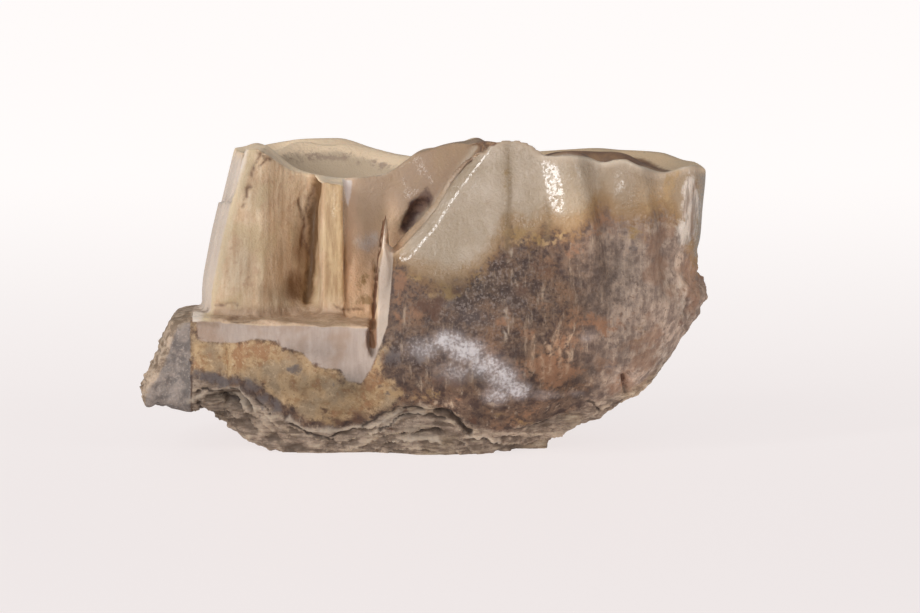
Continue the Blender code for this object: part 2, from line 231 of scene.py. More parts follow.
def basin_reach(x, y, basin):
    """Distance from the middle of a basin: 1 on its edge."""
    cx, cy, length, depth, _ = basin
    across, away = np.abs((x - cx) / length), np.abs((y - cy) / depth)
    return (across**BASIN_POWER + away**BASIN_POWER) ** (1 / BASIN_POWER)


def worn_face(x, y):
    """Height of the chewing face over the plan."""
    angle, reach = np.arctan2(y, x), np.hypot(x, y)
    inside = wall_radius(angle, np.full_like(x, 29.0)) - reach
    back = step(-6, 16, y)
    height = curve(NEAR_RIM, x) * (1 - back) + curve(FAR_RIM, x) * back
    for basin in BASINS:
        *_, sunk = basin
        reach = basin_reach(x, y, basin)
        kerb = 0.35 * np.exp(-(((reach - 1.08) / 0.1) ** 2))
        height = height - sunk * (1 - step(0.35, 1.0, reach)) + kerb
    right = step(5.6, 8.6, x)
    edge = inside * (y < 2)
    band = step(1.4, 3.0, edge) * (1 - step(BAND_BACK - 2.2, BAND_BACK - 0.4, edge))
    dish = np.maximum(1 - (y / DISH_REACH) ** 2, 0) * step(0.6, 2.4, inside)
    height = height - (BAND_DEPTH * band + DISH_DEPTH * dish) * right
    height = height - CUSP_WEAR * np.exp(-(((x - 10.4) / 2.6) ** 2)) * step(2.0, 3.6, inside)
    rear = step(1.6, 2.6, inside) * (1 - step(4.4, 5.4, inside)) * step(4, 10, y)
    height = height - 0.9 * rear
    foot = curve(VALLEY_FOOT, x)
    floor = curve(VALLEY_FLOOR, x)
    behind = y - foot
    back_wall = floor + 3.4 * np.maximum(behind, 0) + 0.08 * np.maximum(behind, 0) ** 2
    lip = curve(CREST, x) - 2.0 * np.maximum(inside - 1.0, 0)
    front = np.maximum(lip, floor)
    valley = np.where(behind > 0, np.maximum(back_wall, np.where(x > -3.3, lip, -99)), front)
    in_valley = (x > -8.3) & (x < 7.0) & (y < 4)
    return np.where(in_valley, np.minimum(height, valley), height)


def root_face(x, y):
    """Height of the broken root bases over the plan."""
    near = curve(ROOT_FOOT, x)
    arch = 5.5 * np.exp(-(((x - 1) / 6.5) ** 2)) * step(2, 14, y)
    fork = 3.0 * np.exp(-(((y + 0.5) / 3.4) ** 2)) * step(-2, -12, -np.abs(x))
    return near + arch + fork + 0.5 * noise(x / 2, y / 2, 0, 3)


def mesh_object(name, points, faces):
    """A mesh object from points in millimetres."""
    mesh = bpy.data.meshes.new(name)
    mesh.from_pydata(((np.asarray(points) - MIDDLE) * MM).tolist(), [], faces)
    obj = bpy.data.objects.new(name, mesh)
    bpy.context.scene.collection.objects.link(obj)
    return obj


def tooth_body(turns, levels, rings):
    """The whole tooth before it broke: a wall between its worn face and its root face."""
    angle = np.linspace(-math.pi, math.pi, turns, endpoint=False)
    top, bottom = np.full(turns, 31.0), np.full(turns, 2.0)
    for _ in range(12):
        radius = wall_radius(angle, top) - 0.05
        top = 0.5 * top + 0.5 * worn_face(radius * np.cos(angle), radius * np.sin(angle))
        radius = wall_radius(angle, bottom) - 0.05
        bottom = 0.5 * bottom + 0.5 * root_face(radius * np.cos(angle), radius * np.sin(angle))
    rows = []
    for share in np.linspace(1, 0, rings, endpoint=False)[::-1]:
        radius = wall_radius(angle, bottom) * share
        x, y = radius * np.cos(angle), radius * np.sin(angle)
        rows.append(np.stack([x, y, root_face(x, y) if share < 1 else bottom], 1))
    for share in np.linspace(0, 1, levels + 1)[1:-1]:
        z = bottom + (top - bottom) * share
        radius = wall_radius(angle, z)
        rows.append(np.stack([radius * np.cos(angle), radius * np.sin(angle), z], 1))
    for share in np.linspace(1, 0, rings, endpoint=False):
        radius = wall_radius(angle, top) * share
        x, y = radius * np.cos(angle), radius * np.sin(angle)
        rows.append(np.stack([x, y, worn_face(x, y) if share < 1 else top], 1))
    points = np.concatenate(rows)
    zero = np.zeros(1)
    points = np.vstack([points, [[0, 0, root_face(zero, zero)[0]], [0, 0, worn_face(zero, zero)[0]]]])
    faces = []
    for r in range(len(rows) - 1):
        for t in range(turns):
            n = (t + 1) % turns
            faces.append((r * turns + t, r * turns + n, (r + 1) * turns + n, (r + 1) * turns + t))
    low, high, last = len(points) - 2, len(points) - 1, (len(rows) - 1) * turns
    for t in range(turns):
        n = (t + 1) % turns
        faces.append((low, n, t))
        faces.append((high, last + t, last + n))
    return mesh_object("molar_surface", points, faces)


def swept_sheet(name, grid, towards):
    """A closed cutter: a sheet of points, given as rows, pushed out along a direction."""
    rows, columns = grid.shape[:2]
    near = grid.reshape(-1, 3)
    points = np.vstack([near, near + np.array(towards, float)])
    n = rows * columns
    faces = []
    for r in range(rows - 1):
        for c in range(columns - 1):
            a = r * columns + c
            b, d, e = a + 1, a + columns + 1, a + columns
            faces.append((a, e, d, b))
            faces.append((a + n, b + n, d + n, e + n))
    ring = list(range(columns))
    ring += [r * columns + columns - 1 for r in range(1, rows)]
    ring += [(rows - 1) * columns + c for c in range(columns - 2, -1, -1)]
    ring += [r * columns for r in range(rows - 2, 0, -1)]
    for i, a in enumerate(ring):
        b = ring[(i + 1) % len(ring)]
        faces.append((a, b, b + n, a + n))
    return mesh_object(name, points, faces)


def broken_corner(columns, rows):
    """The cutter for the corner that broke away: a ledge, then the fracture face above it."""
    x = np.linspace(-34, BREAK_RIGHT, columns)
    sheet = []
    for share in np.linspace(0, 1, rows):
        z = LEDGE + 0.3 * noise(x / 1.5, np.full(columns, share * 8), 0, 5)
        y = -24 + (fracture_depth(x, z) + 24) * share
        sheet.append(np.stack([x, y, z], 1))
    for share in np.linspace(0, 1, rows)[1:]:
        z = LEDGE + 0.3 * noise(x / 1.5, np.full(columns, 8.0), 0, 5) * (1 - share) + share * 22
        sheet.append(np.stack([x, fracture_depth(x, z), z], 1))
    return swept_sheet("broken_corner", np.array(sheet), (0, -30, 30))


def fracture_depth(x, z):
    """How far back the fracture face lies."""
    lean = (z - LEDGE) * 0.02
    shifted = x + (z - 23) * np.interp(x, [-26, -14, -10, -4], [-0.20, 0.02, 0, 0])
    hollow = step(LEDGE - 1, LEDGE + 4, z) * (1 - 0.55 * step(26, 31, z))
    base = np.interp(shifted, [-26, -17, -8.2, -4], [-8.8, -9.2, -8.9, -6.8])
    toe = 2.6 * step(-8.3, -7.4, x) * (1 - step(16, 24, z))
    return base + (curve(FRACTURE, shifted) - base) * (0.45 + 0.55 * hollow) + lean - toe


def lump(name, profile, stations):
    """A closed lump: a profile of (x, z) points, repeated at (y, scale) stations around its middle."""
    profile = np.array(profile, float)
    middle = profile.mean(0)
    points, faces, n = [], [], len(profile)
    for y, scale in stations:
        for x, z in middle + (profile - middle) * scale:
            points.append((x, y, z))
    for s in range(len(stations) - 1):
        for i in range(n):
            k = (i + 1) % n
            faces.append((s * n + k, s * n + i, s * n + n + i, s * n + n + k))
    faces.append(tuple(range(n)))
    faces.append(tuple(range(len(points) - n, len(points)))[::-1])
    return mesh_object(name, points, faces)


def ball(name, centre, size, turned):
    """A rounded cutter: a sphere stretched to a size and turned about the Y axis."""
    mesh = bpy.data.meshes.new(name)
    shape = bmesh.new()
    bmesh.ops.create_icosphere(shape, subdivisions=3, radius=MM / 2)
    bmesh.ops.scale(shape, vec=size, verts=shape.verts)
    bmesh.ops.rotate(shape, matrix=Matrix.Rotation(math.radians(turned), 3, "Y"), verts=shape.verts)
    bmesh.ops.translate(shape, vec=(Vector(centre) - MIDDLE) * MM, verts=shape.verts)
    shape.to_mesh(mesh)
    shape.free()
    obj = bpy.data.objects.new(name, mesh)
    bpy.context.scene.collection.objects.link(obj)
    return obj


def settle(obj):
    """Works the object's modifiers into its mesh."""
    shaped = bpy.data.meshes.new_from_object(obj.evaluated_get(bpy.context.evaluated_depsgraph_get()))
    obj.modifiers.clear()
    obj.data = shaped


def combine(target, other, how):
    """A Boolean of two closed pieces. The second is used up."""
    joint = target.modifiers.new(other.name, "BOOLEAN")
    joint.operation = how
    joint.solver = "EXACT"
    joint.object = other
    settle(target)
    bpy.data.objects.remove(other)


tooth = tooth_body(turns=300, levels=44, rings=44)
combine(tooth, broken_corner(120, 36), "DIFFERENCE")
combine(tooth, lump("slab", SLAB, SLAB_STATIONS), "UNION")
combine(tooth, lump("blade", BLADE, BLADE_STATIONS), "UNION")
combine(tooth, lump("gap", GAP, GAP_STATIONS), "DIFFERENCE")
combine(tooth, ball("slot", *SLOT_CUTTER), "DIFFERENCE")
combine(tooth, ball("pit", *PIT_CUTTER), "DIFFERENCE")

SKIN_GRAIN = 0.26
skin = tooth.modifiers.new("skin", "REMESH")
skin.mode = "VOXEL"
skin.voxel_size = SKIN_GRAIN * MM
smooth = tooth.modifiers.new("smooth", "SMOOTH")
smooth.factor = 0.5
smooth.iterations = 2
settle(tooth)


# The skin's weathering, and the light and shade painted on it. Each place is marked where the photograph
# shows it, by its pixel across and down, and the marks then lie on the tooth itself: grooves, pits, layers
# and grain move the skin along its normals, and the same marks are kept on the mesh for the finish to read.
def vertex_values(mesh, field, width):
    """One value per vertex, as an array."""
    values = np.empty(len(mesh.vertices) * width)
    mesh.vertices.foreach_get(field, values)
    return values.reshape(-1, width)


def seen_at(points):
    """The photograph's pixels, across and down, where the camera sees each point."""
    x, y, z = (points - AIM).T
    depth = y * math.cos(TILT) - z * math.sin(TILT)
    scale = PX_PER_MM * DISTANCE / (DISTANCE + depth)
    up = z * math.cos(TILT) + y * math.sin(TILT)
    return PICTURE[0] / 2 + x * scale, PICTURE[1] / 2 - up * scale


def from_line(spot, line):
    """Distance from each pixel to a line through pixels, in millimetres."""
    across, down = spot
    nearest = np.full(len(across), 1e9)
    for (x0, y0), (x1, y1) in zip(line, line[1:]):
        length = (x1 - x0) ** 2 + (y1 - y0) ** 2
        t = np.clip(((across - x0) * (x1 - x0) + (down - y0) * (y1 - y0)) / length, 0, 1)
        nearest = np.minimum(nearest, np.hypot(across - x0 - t * (x1 - x0), down - y0 - t * (y1 - y0)))
    return nearest / PX_PER_MM


def traces(spot, lines, width):
    """1 on any of several lines, fading out over a width in millimetres."""
    return np.max([np.exp(-((from_line(spot, line) / width) ** 2)) for line in lines], axis=0)


def within(spot, shape):
    """Distance to the edge of a closed shape in millimetres, positive inside it."""
    across, down = spot
    inner = np.zeros(len(across), bool)
    for (x0, y0), (x1, y1) in zip(shape, shape[1:] + shape[:1]):
        if y0 != y1:
            crossing = (down > min(y0, y1)) & (down <= max(y0, y1))
            inner ^= crossing & (across < x0 + (down - y0) * (x1 - x0) / (y1 - y0))
    return from_line(spot, shape + shape[:1]) * np.where(inner, 1, -1)


def below_line(spot, line):
    """How far each pixel lies below a line that crosses the picture, in millimetres."""
    x, y = (np.array(v, float) for v in zip(*line))
    return (spot[1] - np.interp(spot[0], x, y)) / PX_PER_MM


def spots(spot, places):
    """Soft ovals, each as (across, down, half width, half height, strength) in pixels."""
    total = np.zeros(len(spot[0]))
    for u, v, wide, high, strength in places:
        oval = np.exp(-(((spot[0] - u) / wide) ** 2) - ((spot[1] - v) / high) ** 2)
        total = np.maximum(total, strength * oval)
    return total


def grain(points, size, seed, levels=1):
    """Random values near -1 to 1 that change smoothly over cells of a size, with finer levels added."""
    total = np.zeros(len(points))
    for level in range(levels):
        cell = points / (np.array(size, float) / 2**level) + seed * 17.3
        low = np.floor(cell).astype(np.int64)
        t = cell - low
        t = t * t * (3 - 2 * t)
        for corner in range(8):
            offset = np.array([(corner >> k) & 1 for k in range(3)])
            share = np.prod(np.where(offset, t, 1 - t), axis=1)
            key = ((low + offset) * (73856093, 19349663, 83492791)).sum(1) + seed * 9176 + level * 631
            key = (key ^ (key >> 13)) * 1274126177 & 0x7FFFFFFF
            key = (key ^ (key >> 15)) * 668265263 & 0x7FFFFFFF
            total += share * (key % 65536 / 32768 - 1) * 0.6**level
    return total


# front is 1 on the side that the camera faces and 0 on the others. The ragged and the torn pixels
# stray a little from their places, so that an edge drawn by them isn't clean.
mesh = tooth.data
points = vertex_values(mesh, "co", 3) / MM + MIDDLE
normals = vertex_values(mesh, "normal", 3)
x, y, z = points.T
angle, reach = np.arctan2(y, x), np.hypot(x, y)
front = step(1.0, -2.5, y) * step(0.35, 0.0, normals[:, 1])
pixel = seen_at(points)
ragged = [pixel[k] + 2.6 * grain(points, (1.5, 1.5, 1.5), 51 + k, 3) for k in (0, 1)]
torn = [pixel[k] + 6.0 * grain(points, (2.0, 2.0, 2.0), 53 + k, 4) for k in (0, 1)]

# Depth into the space of the broken corner: about zero on its walls, negative on the rest
lost = np.minimum(np.minimum(fracture_depth(x, z) - y, z - LEDGE), BREAK_RIGHT + 0.2 - x)
broken = lost + 0.42 + 0.12 * grain(points, (0.8, 0.8, 0.8), 4)
on_break = step(0.0, 0.3, broken)

# Lower edge of the clear enamel: a line of pixels on the front, a height on the other sides
ENAMEL_FOOT = [
    (385, 250), (398, 260), (409, 270), (420, 272), (432, 279), (445, 284), (457, 283), (470, 276),
    (483, 267), (492, 252), (500, 240), (508, 230), (516, 228), (530, 236), (542, 226), (556, 227),
    (570, 230), (580, 226), (590, 214), (600, 203), (608, 202), (616, 214), (630, 220), (646, 214),
    (662, 208), (674, 214), (681, 232), (688, 246), (695, 262), (706, 268),
]
blend = step(-8, -2, y)
foot_height = 14.5 + 2.2 * np.sin(angle * 2 + 0.6) + 5.0 * step(0.9, 0.0, np.abs(angle))
enamel = -below_line(pixel, ENAMEL_FOOT) * (1 - blend) + (z - foot_height) * blend
left_side = step(-17, -20, x)
enamel = enamel * (1 - left_side) + (z - 14.6) * left_side
enamel = enamel + 0.35 * grain(points, (1.4, 1.4, 1.4), 8, 3)

# Top of the rough root, below the stained neck
ROOT_TOP = [
    (130, 300), (189, 376), (200, 378), (237, 390), (262, 402), (288, 420), (302, 427), (337, 429),
    (370, 421), (388, 411), (404, 404), (422, 404), (440, 408), (470, 424), (500, 432), (540, 422),
    (585, 408), (600, 402), (640, 384), (680, 345), (720, 300),
]
root = below_line(pixel, ROOT_TOP) * (1 - blend) + (5.5 + 1.2 * np.sin(angle * 3) - z) * blend

# The pale band of enamel below the ledge, the ochre patch under it, the worn edge of the slab, the
# splinter beside the break, and the brown facet on the front cusp
STUB_BAND = [
    (196, 318), (250, 321), (330, 320), (369, 321), (378, 322), (380, 340), (378, 352), (371, 369),
    (362, 383), (347, 381), (340, 369), (325, 369), (312, 364), (302, 352), (282, 348), (276, 341),
    (254, 339), (233, 343), (199, 341),
]
OCHRE_PATCH = [
    (190, 322), (199, 341), (233, 343), (254, 339), (276, 341), (282, 348), (302, 352), (312, 364),
    (325, 369), (340, 369), (347, 381), (362, 383), (374, 366), (384, 342), (388, 352), (378, 375),
    (396, 386), (398, 402), (372, 414), (336, 420), (310, 418), (285, 404), (262, 388), (233, 376),
    (197, 371), (190, 372),
]
SLAB_EDGE = [(195, 306), (173, 322), (164, 341), (158, 358), (148, 379), (139, 399)]
BLADE_FACE = [
    (388, 213), (393, 236), (393, 262), (390, 300), (387, 325), (382, 342), (378, 352), (377, 330),
    (378, 290), (383, 250), (377, 243), (381, 226),
]
CUSP_FACET = [(462, 161), (470, 146), (478, 136), (488, 133), (503, 142), (487, 149), (474, 156)]
stub = within(pixel, STUB_BAND)
ochre = within(ragged, OCHRE_PATCH)
slab = np.minimum(-24.75 - x, 15.2 - z)
slab_edge = from_line(ragged, SLAB_EDGE)
blade = within(pixel, BLADE_FACE)
apex = within(ragged, CUSP_FACET)

# Soft ovals, each as (across, down, half width, half height, strength). First chalky powder.
CHALK = [
    (448, 341, 24, 13, 0.95), (466, 352, 24, 16, 0.95), (486, 366, 24, 18, 0.85), (504, 378, 22, 17, 0.9),
    (516, 390, 18, 12, 0.9), (498, 396, 20, 11, 0.75), (424, 350, 26, 16, 0.6), (456, 372, 26, 16, 0.65),
    (545, 395, 30, 6, 0.5), (575, 394, 12, 5, 0.5), (368, 243, 17, 12, 0.7), (372, 262, 12, 12, 0.35),
    (470, 316, 30, 22, 0.32), (500, 280, 30, 28, 0.22), (588, 337, 12, 8, 0.5),
]
# Tints that lie over the rest, and the seed of each one's scatter on the sides that the picture hides
TINTS = {
    "rust": [
        (402, 288, 8, 28, 0.95), (398, 318, 6, 10, 0.7), (422, 318, 14, 9, 0.6), (552, 370, 31, 15, 1.0),
        (560, 344, 24, 12, 0.6), (598, 322, 30, 13, 0.8), (605, 222, 13, 22, 0.5), (570, 250, 16, 12, 0.45),
        (501, 322, 8, 7, 0.7), (524, 332, 12, 12, 0.6), (462, 399, 4, 5, 0.6), (526, 410, 18, 4, 0.5),
        (290, 357, 13, 8, 0.5), (661, 214, 12, 7, 0.5), (635, 300, 10, 16, 0.35), (622, 384, 6, 12, 0.6),
        (540, 300, 14, 10, 0.4),
    ],
    "umber": [
        (432, 308, 15, 10, 0.95), (440, 296, 9, 10, 0.8), (456, 284, 10, 3, 0.7), (405, 388, 9, 4, 0.7),
        (445, 381, 20, 6, 0.8),
        (325, 412, 4, 4, 0.8), (338, 418, 9, 5, 0.8), (315, 367, 4, 5, 0.8), (337, 376, 9, 4, 0.7),
        (283, 349, 5, 3, 0.9), (356, 417, 14, 6, 0.6), (410, 409, 9, 3, 0.9), (470, 418, 4, 3, 0.9),
        (500, 262, 16, 12, 0.5), (540, 268, 18, 12, 0.5), (520, 292, 20, 12, 0.5), (590, 290, 16, 10, 0.4),
        (606, 206, 6, 4, 0.5), (626, 385, 4, 10, 0.9), (534, 445, 5, 2, 0.8), (500, 443, 4, 2, 0.7),
        (382, 380, 12, 8, 0.5), (385, 423, 5, 4, 0.7), (676, 321, 3, 3, 0.7), (592, 406, 6, 3, 0.5),
    ],
    "olive": [
        (636, 233, 18, 9, 0.7), (418, 274, 10, 6, 0.7), (447, 287, 16, 6, 0.9), (478, 272, 9, 8, 0.7),
        (516, 232, 14, 9, 0.8), (536, 240, 12, 7, 0.7), (554, 236, 12, 6, 0.5),
        (362, 284, 8, 14, 0.6), (315, 386, 14, 6, 0.5), (345, 396, 22, 8, 0.4), (430, 396, 20, 9, 0.5),
        (520, 418, 26, 7, 0.5), (640, 340, 18, 22, 0.25), (509, 190, 3, 40, 0.5),
    ],
    "honey": [
        (671, 186, 7, 24, 0.9), (650, 206, 14, 7, 0.5), (516, 242, 12, 5, 0.8), (552, 239, 14, 5, 0.8),
        (440, 291, 18, 5, 0.7), (479, 276, 8, 6, 0.7), (416, 276, 12, 5, 0.7), (364, 301, 12, 4, 0.9),
        (397, 391, 8, 7, 0.9), (330, 418, 12, 7, 0.7), (424, 400, 18, 8, 0.55), (352, 396, 10, 6, 0.6),
    ],
    "slate": [
        (215, 379, 24, 7, 1.0), (248, 386, 14, 8, 0.9), (261, 399, 8, 7, 0.9), (274, 405, 8, 6, 0.9),
        (296, 369, 10, 8, 0.8), (392, 358, 12, 13, 0.8), (420, 352, 20, 14, 0.8), (389, 392, 6, 4, 0.6),
        (508, 300, 22, 16, 0.5), (480, 268, 9, 10, 0.4), (632, 249, 4, 5, 0.8), (612, 362, 20, 20, 0.4),
        (691, 205, 5, 16, 0.7), (300, 412, 6, 5, 0.5), (332, 384, 6, 5, 0.5), (455, 300, 22, 16, 0.5),
    ],
    "pale": [
        (683, 230, 8, 15, 0.9), (694, 238, 4, 14, 0.6), (662, 190, 10, 12, 0.3), (660, 360, 14, 22, 0.5),
        (684, 300, 6, 30, 0.5), (610, 245, 12, 14, 0.3), (384, 400, 9, 6, 0.3), (347, 190, 4, 14, 0.9),
        (400, 250, 5, 12, 0.5), (640, 262, 26, 14, 0.3),
    ],
}
SEED = {"rust": 61, "umber": 62, "olive": 63, "slate": 64, "pale": 65, "honey": 66}

# Specks of grey in the stained neck, whitish enamel in the valley, bleached enamel at the right end,
# and enamel that has lost its gloss
SPECKLE = [(480, 290, 60, 50, 1.0), (420, 350, 40, 20, 0.8), (620, 280, 60, 40, 0.3)]
MOTTLE = [(362, 243, 12, 10, 1.0), (374, 240, 8, 9, 0.9)]
CORNER = [(692, 206, 9, 34, 1.0), (684, 234, 10, 16, 0.9)]
DULL = [(612, 180, 12, 30, 1.0), (680, 200, 16, 40, 0.7)]

# Painted light and painted shade, partly also the surface's own tone: the first ovals make the whole
# surface paler, with painted highlights among them, and the second make it darker than the rest of its kind
LIGHT_AND_TONE_LIFT = [
    (688, 200, 28, 50, 0.7), (690, 272, 26, 45, 0.8), (668, 330, 26, 40, 0.6), (636, 388, 36, 26, 0.9),
    (600, 405, 26, 14, 0.6), (576, 225, 30, 46, 0.75), (576, 342, 28, 24, 0.8), (540, 404, 60, 13, 0.5),
    (512, 430, 44, 14, 0.6), (452, 404, 26, 12, 0.7), (350, 230, 9, 66, 0.9), (392, 238, 12, 16, 1.0),
    (392, 215, 8, 20, 0.8), (657, 194, 17, 20, 1.0), (362, 310, 20, 8, 0.35), (498, 355, 12, 16, 0.4),
]
SHADE_AND_TONE_DIM = [
    (240, 262, 27, 56, 0.4), (252, 190, 16, 34, 0.34), (280, 298, 34, 18, 0.28), (300, 386, 62, 15, 0.42),
    (348, 386, 24, 16, 0.55), (404, 412, 26, 12, 0.2), (478, 378, 16, 10, 0.2), (360, 398, 16, 10, 0.25),
    (215, 405, 40, 14, 0.3), (330, 406, 44, 14, 0.35), (262, 375, 16, 12, 0.35), (300, 350, 24, 10, 0.22),
    (626, 268, 18, 26, 0.25), (460, 288, 42, 14, 0.35), (325, 352, 22, 12, 0.22), (416, 430, 12, 10, 0.3),
]

# Fine dark cracks of the break, and its crevice of two strands
CRACKS = [
    [(263, 152), (257, 165), (254, 176)], [(250, 186), (245, 198)], [(243, 203), (241, 208)],
    [(258, 152), (272, 159), (262, 167)], [(230, 318), (238, 319)], [(280, 326), (280, 345)],
    [(311, 327), (318, 333)], [(216, 307), (237, 306)], [(335, 305), (345, 309), (362, 308)],
    [(300, 200), (304, 222), (302, 244)], [(699, 182), (691, 198), (685, 212)],
    [(693, 214), (690, 228), (694, 242)],
]
CREVICE = [(318, 181), (317, 195), (313, 212), (312, 240), (310, 270), (307, 300)]
CREVICE_LEFT = [(314, 190), (308, 208), (304, 232), (309, 255)]
BREAK_CRACKS = CRACKS + [CREVICE_LEFT]
# Painted shade in the hollow of the fracture: brown where it lies deepest
HOLLOW_PAINTED_SHADE = [
    (294, 288, 15, 24, 1.0), (300, 250, 12, 40, 0.75), (284, 262, 14, 34, 0.5), (264, 292, 16, 14, 0.4),
    (250, 262, 5, 26, 0.3),
]
# Painted shadow along the gap between the valley and the splinter, and dark seams between the layers of the
# root
SPLIT_SHADOW = [(385, 216), (381, 238), (378, 264), (375, 296), (373, 322), (373, 345)]
SEAMS = [
    [(196, 392), (206, 389), (214, 391)], [(214, 391), (224, 389), (236, 391), (246, 402), (250, 408)],
    [(222, 400), (232, 404), (240, 408)], [(198, 404), (206, 410), (214, 413)],
    [(254, 400), (262, 406), (270, 414)], [(333, 436), (343, 433), (354, 429)],
    [(360, 426), (374, 417), (384, 412), (400, 407)], [(404, 409), (413, 408), (422, 410)],
    [(378, 428), (400, 418), (424, 415), (444, 421)], [(404, 434), (424, 430), (440, 434)],
    [(482, 440), (500, 444)], [(288, 424), (310, 434), (334, 440)], [(505, 427), (522, 429), (548, 421)],
    [(585, 402), (592, 404), (597, 410)],
]
# The deep pit beside the crest, painted dark as painted shade and a dark stain, and shallow grooves down
# the enamel, painted dark along their lines as painted shade with an olive brown tint
PIT_SHADE_AND_STAIN = [
    (424, 188), (428, 195), (421, 207), (413, 219), (404, 230), (400, 227), (403, 217), (409, 209),
    (412, 201), (419, 199),
]
SHADED_GROOVES = [
    [(507, 146), (509, 170), (510, 196), (508, 226), (507, 250)], [(547, 205), (549, 222), (547, 240)],
]
# Edge of the lens-shaped layer in the root, and pale lips of the layers
LENS_EDGE = [(439, 412), (449, 416), (458, 422), (464, 429), (472, 434)]
LIPS = [
    [(188, 402), (204, 395), (222, 389), (236, 390), (248, 398), (254, 412)],
    [(288, 420), (302, 429), (337, 431), (371, 424), (400, 412)],
    [(370, 434), (388, 422), (404, 416), (424, 413)], [(470, 438), (486, 440), (500, 441)],
    [(395, 440), (420, 436), (440, 440)], [(216, 398), (234, 399), (246, 410)],
]
# Pale worn edges. The enamel is rounded off along the one of the crest.
CREST_EDGE = [(470, 146), (455, 166), (438, 192), (420, 222), (399, 244)]
SHOULDER_WIDTH, SHOULDER_DROP = 2.6, 0.85
WORN_EDGES = [
    [(322, 178), (345, 177), (385, 173), (398, 163), (412, 154)], CREST_EDGE,
    [(541, 157), (570, 156), (590, 160), (603, 164), (622, 160), (640, 167), (668, 171), (690, 165)],
]
# Pale scratches and fibres in the neck, and small hollows in the root
SCRATCHES = [[(506, 308), (508, 326), (505, 342)], [(512, 250), (508, 262)]]
FIBRES = [
    [(532, 350), (530, 376)], [(541, 352), (543, 380)], [(551, 346), (550, 372)],
    [(560, 350), (563, 378)], [(570, 352), (568, 374)], [(545, 334), (549, 350)],
    [(560, 330), (556, 346)], [(536, 336), (532, 350)], [(572, 334), (566, 348)],
]
HOLLOWS = [
    [(206, 397), (222, 391), (238, 393), (247, 404), (232, 403), (218, 400)],
    [(622, 376), (631, 373), (629, 386), (626, 394)],
]

# The standing column of the break, by the pixels between which each of its sides fades in
COLUMN_LEFT = (323, 326)
COLUMN_RIGHT = (346.5, 344)
COLUMN_TOP = (176, 180)
COLUMN_FOOT = (312, 292)
# The sliver of enamel beside it, the foot of the flake lost from the left wall, and where the right
# half begins
WEDGE = [(342, 179), (353, 180), (351, 195), (348, 207), (345, 200)]
FLAKE_FOOT = (202.5, 201.0)
RIGHT_HALF = (560, 640)

# Layers of the root, which arch over its middle on the front and lie level on the other sides
ARCH = [
    (130, 380), (196, 385), (233, 385), (262, 397), (285, 412), (310, 424), (340, 430), (372, 422),
    (387, 413), (404, 408), (422, 408), (439, 413), (456, 423), (470, 434), (500, 438), (544, 432),
    (600, 412), (640, 392), (700, 330),
]
depth = below_line(pixel, ARCH) * (1 - blend) + (6 - z) * blend
layer = depth * 0.95 + 0.8 * grain(points, (8, 8, 4), 31, 2)
shelf = (layer % 1.0) ** 2 * step(-0.5, 0.2, grain(points, (6, 6, 2), 32))
in_root = step(-0.4, 1.2, root) * (1 - step(-0.2, 0.1, slab))
rough = step(0.4, -1.0, enamel) * (1 - on_break) * (1 - step(-0.2, 0.2, stub) * front)
hollow = np.max([within(pixel, shape) for shape in HOLLOWS], axis=0)
seam = traces(ragged, SEAMS, 0.16) * front
lens = traces(ragged, [LENS_EDGE], 0.3) * front
lip = traces(ragged, LIPS, 0.2) * front
worn_edge = traces(pixel, WORN_EDGES, 0.22) * front
crevice = from_line(pixel, CREVICE)

# How far each kind of wear moves the skin, and how wide it is, in millimetres
LAYER_RELIEF = 0.46
LIP_HEIGHT = 0.3
SEAM_DEPTH = 0.5
LENS_DEPTH = 0.9
HOLLOW_DEPTH = 1.3
CREVICE_DEPTH, CREVICE_WIDTH = 0.45, 0.35
CRACK_DEPTH, CRACK_WIDTH = 0.2, 0.2
FLAKE_DEPTH = 0.6
LUMP_HEIGHT = 0.6

shift = np.zeros(len(x))
layers = LAYER_RELIEF * (shelf - 0.3) + LAYER_RELIEF * grain(points, (2.6, 2.6, 1.8), 11, 4)
shift += in_root * (layers + LIP_HEIGHT * lip - SEAM_DEPTH * seam)
shift -= LENS_DEPTH * lens
pitting = 0.09 * grain(points, (1.1, 1.1, 1.5), 12, 3) + 0.16 * grain(points, (5, 5, 5), 13, 2)
shift += rough * (1 - in_root) * pitting
upright = 0.08 * grain(points, (0.7, 0.7, 5.0), 14, 3) + 0.12 * grain(points, (3, 3, 6), 15, 2)
shift += on_break * upright
shift -= HOLLOW_DEPTH * step(-0.4, 0.5, hollow) * front
fissures = CREVICE_DEPTH * np.exp(-((crevice / CREVICE_WIDTH) ** 2))
shift -= on_break * (fissures + CRACK_DEPTH * traces(ragged, BREAK_CRACKS, CRACK_WIDTH))
flake = step(*FLAKE_FOOT, pixel[1]) * step(-16, -19, x) * step(4, 0, y) * (1 - on_break)
shift -= FLAKE_DEPTH * flake
right_lump = step(27.4, 28.6, x) * step(11.5, 13.0, z) * step(21.4, 18.8, z)
shift += right_lump * (0.1 + LUMP_HEIGHT * grain(points, (1.7, 1.7, 1.4), 21, 3))
shift += 0.55 * grain(points, (1.5, 1.5, 1.5), 22, 3) * step(-26.4, -28.2, x)
shift += 0.04 * step(0, 2, enamel) * grain(points, (3.2, 3.2, 6), 16)
shoulder = np.maximum(1 - from_line(pixel, CREST_EDGE) / SHOULDER_WIDTH, 0) * front * (1 - on_break)
shift -= SHOULDER_DROP * shoulder**2
points = points + normals * shift[:, None]
points[:, 2] = np.maximum(points[:, 2], 0)
mesh.vertices.foreach_set("co", ((points - MIDDLE) * MM).ravel())
mesh.update()

# What the finish reads, one number per vertex: distances in millimetres, or shares from 0 to 1
top = step(-1.0, -0.45, z - worn_face(x, y)) * step(0.0, 0.3, normals[:, 2] + 0.1)
basin = np.full(len(x), -9.0)
for shape in BASINS:
    half_depth = shape[3]
    basin = np.maximum(basin, (1.04 - basin_reach(x, y, shape)) * half_depth)
